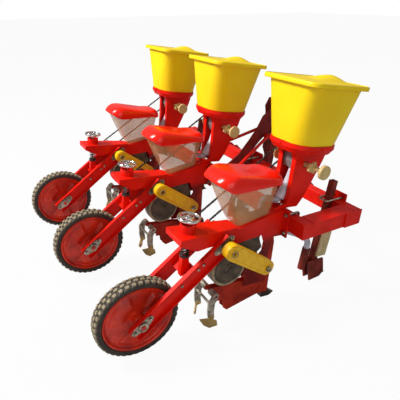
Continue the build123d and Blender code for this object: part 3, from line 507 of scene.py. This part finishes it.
def wheel_disc(row):
    """Disc of revolution: rim flange, dish, three sectors raised by a smooth step, hub and axle stub."""
    n = 240
    t = np.linspace(0, 2 * pi, n, endpoint=False)
    rings = []

    def sector(r):
        lobe = 1 / (1 + np.exp(-14 * (np.cos(3 * (t - 0.45)) + 0.25)))
        side = 1 / (1 + np.exp(-(r - 58) / 2.5)) * 1 / (1 + np.exp((r - 122) / 2.5))
        return lobe * side

    def ring(r, v, raised=0.0):
        vv = np.full(n, float(v)) - raised * sector(r)
        rings.append(np.stack([r * np.cos(t), vv, r * np.sin(t)], -1))

    for r, v in ((10.0, -79.5), (10.0, -46), (26.0, -45.5), (29.0, -43), (30.0, -40), (30.0, -15), (36, -13)):
        ring(r, v)
    for r in (44, 50, 54, 57, 60, 64, 70, 80, 90, 100, 110, 116, 120, 123, 127, 132):
        ring(r, -13.0, 13.0)
    for r, v in ((137, -14), (141, -18), (143, -25), (146, -28.4), (151, -28.8), (152.8, -26), (152.8, 26),
                 (151, 28.8), (146, 28.4), (143, 25), (141, 18), (137, 16)):
        ring(r, v)
    for r in (127, 120, 110, 90, 70, 57, 44):
        ring(r, 15.0)
    for r, v in ((30.0, 17), (30.0, 40), (29.0, 42), (26.0, 43.5), (10.0, 44), (10.0, 91.5)):
        ring(r, v)
    g = np.stack(rings)
    obj = patch(f"wheel_disc_{row}", unit(g[..., 0], g[..., 1], g[..., 2], row), M["rim_red"],
                caps=(True, True), smooth=50)
    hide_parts(f"wheel_rim_{row}")
    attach(obj, f"press_wheel_{row}")
    return obj


for row in ROWS:
    print(len(tyre(row).data.polygons), len(wheel_disc(row).data.polygons), "faces in wheel", row)

# %% [markdown]
# ## Hoppers and their lids
# A hopper's section is a rounded square that widens upward while its corners tighten. Its lid has a rolled
# edge and an off-centre dome.

# %%
HOP_U, HOP_V = 742.0, 30.0
HOP_LOW, HOP_FLOOR, HOP_TOP = 716.6, 721.0, 956.0


def hopper(row):
    """Sections blend from half 120, corner 84 to half 148, corner 56; then the rim, then the inner wall."""
    rings = []

    def ring(half, corner, w):
        o = rounded(half, half, corner, 128)
        rings.append(unit(HOP_U + o[:, 0], HOP_V + o[:, 1], w, row))
    for s in np.linspace(0, 1, 12):
        ring(120 + 28 * s, 84 - 28 * s, HOP_LOW + (HOP_TOP - HOP_LOW) * s)
    for half, corner, w in ((157, 42, 955.5), (158, 42, 958), (157, 42, 960.6), (145, 47, 960.8),
                            (144, 52, HOP_TOP)):
        ring(half, corner, w)
    for s in np.linspace(0.98, 0, 10):
        ring(116 + 28 * s, 80 - 28 * s, HOP_FLOOR + (HOP_TOP - HOP_FLOOR) * s)
    for half, corner in ((80, 60), (42, 36)):
        ring(half, corner, HOP_FLOOR)
    ring(42, 36, 716.7)
    ring(80, 60, 716.7)
    obj = patch(f"hopper_shell_{row}", np.stack(rings), M["yellow_plastic"], wrap_rows=True, smooth=50)
    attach(obj, "planter_frame")
    return obj


def hopper_lid(row):
    """Lid: skirt, rolled edge, slightly crowned top, and a dome that rises by a smooth step of distance."""
    rings = []

    def ring(k, w, inset=0.0, dome=False):
        o = rounded(164.6 - inset, 164.6 - inset, 46 - inset * 0.6, 160) * k
        ww = np.full(len(o), float(w))
        if dome:
            d = np.hypot(o[:, 0] - 52, o[:, 1] + 18)
            rise = 0.5 + 0.5 * np.cos(pi * np.clip(d / 98, 0, 1))
            ww = ww + 25.0 * rise + 2.2 * (1 - np.clip(np.abs(o).max(1) / 160, 0, 1) ** 2)
        rings.append(unit(HOP_U + o[:, 0], HOP_V + o[:, 1], ww, row))
    for w, inset in ((952.0, 3.6), (951.4, 1.5), (952.4, 0.2), (960.0, 0.0), (965.5, 0.4), (968.6, 2.4),
                     (969.6, 6.0)):
        ring(1, w, inset)
    for k in np.linspace(0.96, 0.03, 44):
        ring(k, 967.4, 0.0, True)
    under = []
    for k in (0.03, 0.5, 0.9):
        o = rounded(160, 160, 42, 160) * k
        under.append(unit(HOP_U + o[:, 0], HOP_V + o[:, 1], 962.4, row))
    o = rounded(160.8, 160.8, 43, 160)
    under.append(unit(HOP_U + o[:, 0], HOP_V + o[:, 1], 962.0, row))
    g = np.stack(rings)
    u = np.stack(under)
    top = patch_parts(g, caps=(False, True))
    bottom = patch_parts(u, caps=(True, False))
    skirt = patch_parts(np.stack([u[-1], g[0]]))
    obj = join(f"hopper_cover_shell_{row}", [top, bottom, skirt], M["yellow_plastic"], 50)
    print("hopper lid", row, len(rings), "rings")
    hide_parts(f"hopper_lid_{row}")
    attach(obj, f"hopper_cover_{row}")
    return obj


shells = [hopper(row) for row in ROWS]
for s in shells:
    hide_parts("hoppers")
for row in ROWS:
    hopper_lid(row)

# %% [markdown]
# ## Seed boxes and their lids
# The clear box flares from its sloping seat to the lid. The lid is a soft saddle: its top dips between a high
# back and front, and its side skirts droop.

# %%
BOX_U, BOX_V = 462.0, 38.0
LID_U, LID_V = 167.6, 101.6
SEAT = atan2(44.0, 168.0)


def seed_box(row):
    """Walls: the section grows from the seat's rounded rectangle to the top's; 3 mm thick, open above."""
    def ring(s, inset, lift):
        lo = rounded(88 - inset, 48 - inset, 20 - inset * 0.3, 96)
        hi = rounded(157 - inset, 92 - inset, 66 - inset, 96)
        lu = 432 + 78 * cos(SEAT) + lo[:, 0] * cos(SEAT) - 3 * sin(SEAT)
        lw = 361 + 78 * sin(SEAT) + lo[:, 0] * sin(SEAT) + lift
        flare = s ** 0.85
        u = lu + (BOX_U + hi[:, 0] - lu) * flare
        v = 20 + lo[:, 1] + (BOX_V + hi[:, 1] - 20 - lo[:, 1]) * flare
        w = lw + (563.0 - lw) * s
        return unit(u, v, w, row)
    outer = [ring(s, 0.3, 0.3) for s in np.linspace(0, 1, 14)]
    inner = [ring(s, 3.0, 3.0) for s in np.linspace(1, 0, 14)]
    g = np.stack(outer + inner)
    obj = join(f"clear_box_{row}", [patch_parts(g, caps=(True, True))], M["clear_plastic"], 45)
    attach(obj, "planter_frame")
    return obj


def top_height(u):
    """Height of the lid's crown along the row: a smooth curve through the back, dip and front."""
    return np.interp(u, [290, 300, 330, 365, 410, 470, 540, 592, 618, 636],
                     [566, 580, 595, 601.5, 599, 589, 585, 590, 586, 574])


def skirt_height(u):
    """Height of the lid's lower edge: lowest under the rear lobe, arched at the middle, low at the front."""
    return np.interp(u, [290, 306, 335, 380, 430, 500, 560, 610, 636],
                     [553, 546, 530, 525.4, 533, 548, 547, 538, 540])


def smooth(f, u, width=14.0):
    """Moving average of f along u, which rounds its corners."""
    k = np.linspace(-1, 1, 9)
    return np.mean([f(u + width * i) for i in k], 0)


def seed_lid(row):
    """Rings from the skirt's edge up a quarter-ellipse shoulder, then inward over the crown."""
    n = 144
    rings = []
    edge = rounded(LID_U, LID_V, 70, n)
    low_w = smooth(skirt_height, BOX_U + edge[:, 0])

    def ring(k, rise):
        o = edge * k
        top = smooth(top_height, BOX_U + o[:, 0], 20)
        crown = 9.0 * (np.abs(o[:, 1]) / LID_V) ** 2.4
        w = low_w + (top - crown - 0.6 - low_w) * rise
        rings.append(unit(BOX_U + o[:, 0], BOX_V + o[:, 1], w, row))
    ring(0.962, 0.05)
    ring(0.972, 0.0)
    ring(0.985, 0.01)
    for a in np.linspace(0.05, pi / 2, 13):
        ring(0.76 + 0.24 * cos(a) ** 0.75, 0.16 + 0.84 * sin(a))
    for k in np.linspace(0.7, 0.02, 14):
        ring(k, 1.0)
    inner = []
    for k, w in ((0.03, 574), (0.5, 573), (0.75, 568), (0.92, 556)):
        o = edge * k
        inner.append(unit(BOX_U + o[:, 0], BOX_V + o[:, 1], w, row))
    o = edge * 0.955
    inner.append(unit(BOX_U + o[:, 0], BOX_V + o[:, 1], np.maximum(low_w + 4, 540), row))
    g, h = np.stack(rings), np.stack(inner)
    shells = [patch_parts(g, caps=(False, True)), patch_parts(h, caps=(True, False)),
              patch_parts(np.stack([h[-1], g[0]]))]
    obj = join(f"seed_cover_shell_{row}", shells, M["red_plastic"], 60)
    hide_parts(f"seed_lid_{row}")
    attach(obj, f"seed_cover_{row}")
    return obj


boxes = [seed_box(row) for row in ROWS]
for b in boxes:
    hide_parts("seed_boxes")
for row in ROWS:
    seed_lid(row)

# %% [markdown]
# ## Springs and drive chains
# A spring is a helix on its cup. A chain is rollers and side plates set along the loop round two sprockets.

# %%


HAND_U, HAND_V = 190.0, -3.0
COILS, COIL_R, WIRE = 7.0, 15.5, 0.0024


def spring(row):
    """Helix of seven turns, closed flat at its ends, over a round cup."""
    t = np.linspace(0, 1, 260)
    turn = 2 * pi * COILS * t
    lift = np.interp(t, [0, 0.12, 0.88, 1], [0, 3, 66, 69])
    path = unit(HAND_U + COIL_R * np.cos(turn), HAND_V + COIL_R * np.sin(turn), 256.5 + lift, row)
    ang = np.linspace(0, 2 * pi, 48, endpoint=False)
    cup = []
    for r, w in ((14.8, 249.2), (20.6, 249.4), (20.8, 251), (20.8, 260.4), (20.2, 260.8), (18.8, 260.6),
                 (18.8, 253.2), (14.8, 253.0)):
        cup.append(unit(HAND_U + r * np.cos(ang), HAND_V + r * np.sin(ang), w, row))
    obj = join(f"coil_{row}", [tube_parts(path, WIRE, 8), patch_parts(np.stack(cup), wrap_rows=True)],
               M["black_steel"], 50)
    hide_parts(f"adjuster_spring_{row}")
    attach(obj, f"fork_{row}")


CHAIN_V, CHAIN_R, CHAIN_PITCH = 151.0, 35.5, 15.0
PIVOT, FEED = np.array([338.0, 306.0]), np.array([740.0, 618.0])


def loop_points(count, radius):
    """Even points along a stadium: a straight run, half a turn, the run back, and half a turn."""
    d = FEED - PIVOT
    length = np.linalg.norm(d)
    d /= length
    nrm = np.array([-d[1], d[0]])
    half = length + pi * radius
    pts = []
    for x in np.linspace(0, 2 * half, count, endpoint=False):
        start, side = (PIVOT, 1) if x < half else (FEED, -1)
        run, out = d * side, nrm * side
        x = x % half
        if x < length:
            pts.append(start + run * x + out * radius)
        else:
            q = (x - length) / radius
            pts.append(start + run * length + radius * (out * cos(q) + run * sin(q)))
    return np.array(pts)


def chain(row):
    """Links: inner and outer pairs of waisted side plates in turn, a roller at every joint."""
    total = 2 * np.linalg.norm(FEED - PIVOT) + 2 * pi * CHAIN_R
    count = int(total / CHAIN_PITCH) // 2 * 2
    pts = loop_points(count, CHAIN_R)
    t = np.linspace(0, 2 * pi, 14, endpoint=False)
    parts = []
    for i in range(count):
        p, q = pts[i], pts[(i + 1) % count]
        ax = (q - p) / np.linalg.norm(q - p)
        ay = np.array([-ax[1], ax[0]])
        mid, half = (p + q) / 2, np.linalg.norm(q - p) / 2
        waist = 3.9 * (1 - 0.35 * np.abs(np.sin(t)) ** 3)
        lx = np.cos(t) * (half + 3.6)
        ly = np.sin(t) * waist * 1.05
        o = mid + lx[:, None] * ax + ly[:, None] * ay
        out = 4.6 if i % 2 else 3.3
        for v0 in (CHAIN_V + out - 1.2, CHAIN_V - out):
            g = np.stack([unit(o[:, 0], v0, o[:, 1], row), unit(o[:, 0], v0 + 1.2, o[:, 1], row)])
            parts.append(patch_parts(g, caps=(True, True)))
        ring = p + 3.0 * np.stack([np.cos(t), np.sin(t)], -1)
        g = np.stack([unit(ring[:, 0], CHAIN_V + side, ring[:, 1], row) for side in (-4.8, 4.8)])
        parts.append(patch_parts(g, caps=(True, True)))
    obj = join(f"roller_chain_{row}", parts, M["black_steel"], 40)
    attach(obj, "planter_frame")
    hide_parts("drive_chains")
    return count


for row in ROWS:
    spring(row)
    print("chain", row, chain(row), "links")

# %% [markdown]
# ## Handwheels and small hardware
# A handwheel is a rolled rim on three flat spokes round a hub, with the screw standing up through it. Bolt
# heads are low domes set where the CAD has its studs.

# %%


def lathe(profile, centre, axis, row, sides=40):
    """Points and faces of a profile (radius, height) turned about `axis` at `centre`, closed on itself."""
    ang = np.linspace(0, 2 * pi, sides, endpoint=False)
    rings = []
    for r, h in profile:
        a, b = r * np.cos(ang), r * np.sin(ang)
        if axis == "w":
            rings.append(unit(centre[0] + a, centre[1] + b, centre[2] + h, row))
        else:
            rings.append(unit(centre[0] + a, centre[1] - h, centre[2] + b, row))
    return patch_parts(np.stack(rings), caps=(True, True))


def loop_profile(r, h, half_r, half_h, n=14):
    """Closed elliptical section round (r, h)."""
    a = np.linspace(0, 2 * pi, n, endpoint=False)
    return r + half_r * np.cos(a), h + half_h * np.sin(a)


def handwheel(row):
    """Rim torus, three flat spokes that narrow outward, hub and screw."""
    ang = np.linspace(0, 2 * pi, 72, endpoint=False)
    rr, hh = loop_profile(43.0, 422.5, 4.8, 6.8)
    torus = np.stack([unit(HAND_U + rr * np.cos(a), HAND_V + rr * np.sin(a), hh, row) for a in ang])
    parts = [patch_parts(torus, wrap_rows=True)]
    for k in range(3):
        c = radians(40 + 120 * k)
        d, e = np.array([cos(c), sin(c)]), np.array([-sin(c), cos(c)])
        rings = []
        for r, half, mid in ((6, 13, 426), (14, 12, 426), (26, 8.5, 424), (41, 9.5, 422)):
            q = np.array([[-half, -1.6], [half, -1.6], [half, 1.6], [-half, 1.6]])
            p = d * r + q[:, :1] * e
            rings.append(unit(HAND_U + p[:, 0], HAND_V + p[:, 1], mid + q[:, 1], row))
        parts.append(patch_parts(np.stack(rings), caps=(True, True)))
    stem = [(6.4, 266.5), (6.4, 365), (16.8, 365), (16.8, 371), (12.8, 372), (12.8, 416), (17, 420),
            (17, 428), (13, 431), (6.4, 431.5), (6.4, 438.5), (4.5, 439.8)]
    parts.append(lathe(stem, (HAND_U, HAND_V, 0), "w", row))
    obj = join(f"hand_rim_{row}", parts, M["chrome"], 35)
    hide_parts(f"handwheel_{row}")
    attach(obj, f"depth_screw_{row}")
    return obj


ARM = atan2(PIVOT[1], PIVOT[0])
FORK_V, FORK_FACE = 6.0, 66.05
STUDS_AT = (218, 311, 340)
SEED_U, SEED_W = 538.0, 195.0
METER_U, METER_W, METER_FACE = 399.0, 172.0, -46.05
CASE_FACE = -142.9
DOME = [(7.2, 0.0), (7.2, 3.0), (6.2, 5.0), (3.6, 6.3), (0.8, 6.7)]


def studs(row):
    """Domed bolt heads on the outer face of each fork arm at three distances from the axle."""
    parts = []
    for a in STUDS_AT:
        u, w = a * cos(ARM), a * sin(ARM)
        parts.append(lathe(DOME, (u, FORK_V - FORK_FACE, w), "v", row, 16))
        mirrored = [(r, -h) for r, h in DOME]
        parts.append(lathe(mirrored, (u, FORK_V + FORK_FACE, w), "v", row, 16))
    obj = join(f"fork_studs_{row}", parts, M["zinc"], 40)
    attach(obj, f"fork_{row}")
    return obj


def case_bolts(row):
    """A nut at the case's front sprocket, and at its rear one a ring of painted shade where a hole stands."""
    nut = [(13, 0.0), (13, 2.0), (9, 2.5), (9, 8.0), (5.5, 9.0), (5.5, 12.0), (1.0, 12.4)]
    obj = join(f"case_nut_{row}", [lathe(nut, (SEED_U, CASE_FACE, SEED_W), "v", row, 24)], M["zinc"], 35)
    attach(obj, "planter_frame")
    # The ring is painted shade standing in for a hole at the rear sprocket.
    ring = [(11.6, 0.1), (14.5, 0.1), (14.5, 2.4), (11.6, 2.4)]
    ang = np.linspace(0, 2 * pi, 32, endpoint=False)
    g = np.stack([unit(PIVOT[0] + r * np.cos(ang), CASE_FACE - h, PIVOT[1] + r * np.sin(ang), row)
                  for r, h in ring])
    obj = join(f"case_hole_shade_ring_{row}", [patch_parts(g, wrap_rows=True)], M["meter_rim"], 35)
    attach(obj, "planter_frame")


def meter_ring(row):
    """Pale seal round the meter's cover, and six screws on it."""
    ang = np.linspace(0, 2 * pi, 96, endpoint=False)
    ring = [(76, 0.05), (88.5, 0.05), (89, 1.2), (87, 2.8), (79, 2.8), (76.5, 1.8)]
    g = np.stack([unit(METER_U + r * np.cos(ang), METER_FACE - h, METER_W + r * np.sin(ang), row)
                  for r, h in ring])
    parts = [patch_parts(g, wrap_rows=True)]
    obj = join(f"meter_seal_{row}", parts, M["meter_rim"], 35)
    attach(obj, "planter_frame")
    cover = [(71, 0.05), (71, 1.5), (62, 3.2), (44, 1.2), (30, 1.0), (27, 6.0), (12, 7.0), (10, 11.0),
             (1, 11.4)]
    disc = lathe(cover, (METER_U, METER_FACE - 4.0, METER_W), "v", row, 72)
    obj = join(f"meter_cover_{row}", [disc], M["dark_housing"], 30)
    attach(obj, "planter_frame")
    bolts = []
    for k in range(6):
        a = radians(20 + 60 * k)
        bolts.append(lathe([(5.2, 0), (5.2, 3), (3, 4.2), (0.6, 4.4)],
                           (METER_U + 82 * cos(a), METER_FACE - 2.55, METER_W + 82 * sin(a)), "v", row, 12))
    obj = join(f"meter_screws_{row}", bolts, M["zinc"], 35)
    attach(obj, "planter_frame")


def cream_bar(row):
    """Depth scale bar on the right of the fertiliser shank: a rounded strip."""
    o = rounded(33.2, 73.2, 2.5, 40)
    g = np.stack([unit(1003 + o[:, 0] * k, -14 - v, 182 + o[:, 1] * k, row)
                  for k, v in ((0.97, 15.3), (1, 15.8), (1, 24.0), (0.985, 24.6))])
    obj = join(f"depth_bar_{row}", [patch_parts(g, caps=(True, True))], M["bar_cream"], 35)
    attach(obj, "planter_frame")


for row in ROWS:
    handwheel(row)
    studs(row)
    case_bolts(row)
    meter_ring(row)
    cream_bar(row)

# %% [markdown]
# ## Floor
# A plain pale floor: the camera sees it almost white, and the machine's soft shadow still shows on it.

# %%
FLOOR_HALF = 30.0
floor_mat = material("studio_floor", (0.5, 0.5, 0.5), (0.48, 0.48, 0.48), 2, (0.7, 0.8), (50, 0.0), 0.0005)
tree = floor_mat.node_tree
path, glow = tree.nodes.new("ShaderNodeLightPath"), tree.nodes.new("ShaderNodeEmission")
share, mix = tree.nodes.new("ShaderNodeMath"), tree.nodes.new("ShaderNodeMixShader")
share.operation = "MULTIPLY"
share.inputs[1].default_value = 0.95
tree.links.new(path.outputs["Is Camera Ray"], share.inputs[0])
tree.links.new(share.outputs["Value"], mix.inputs["Fac"])
tree.links.new(tree.nodes["Principled BSDF"].outputs["BSDF"], mix.inputs[1])
tree.links.new(glow.outputs["Emission"], mix.inputs[2])
tree.links.new(mix.outputs["Shader"], tree.nodes["Material Output"].inputs["Surface"])
corners = [(FLOOR_HALF * x, FLOOR_HALF * y, 0) for x, y in ((-1, -1), (1, -1), (1, 1), (-1, 1))]
floor = build("floor", corners, [[0, 1, 2, 3]], floor_mat)
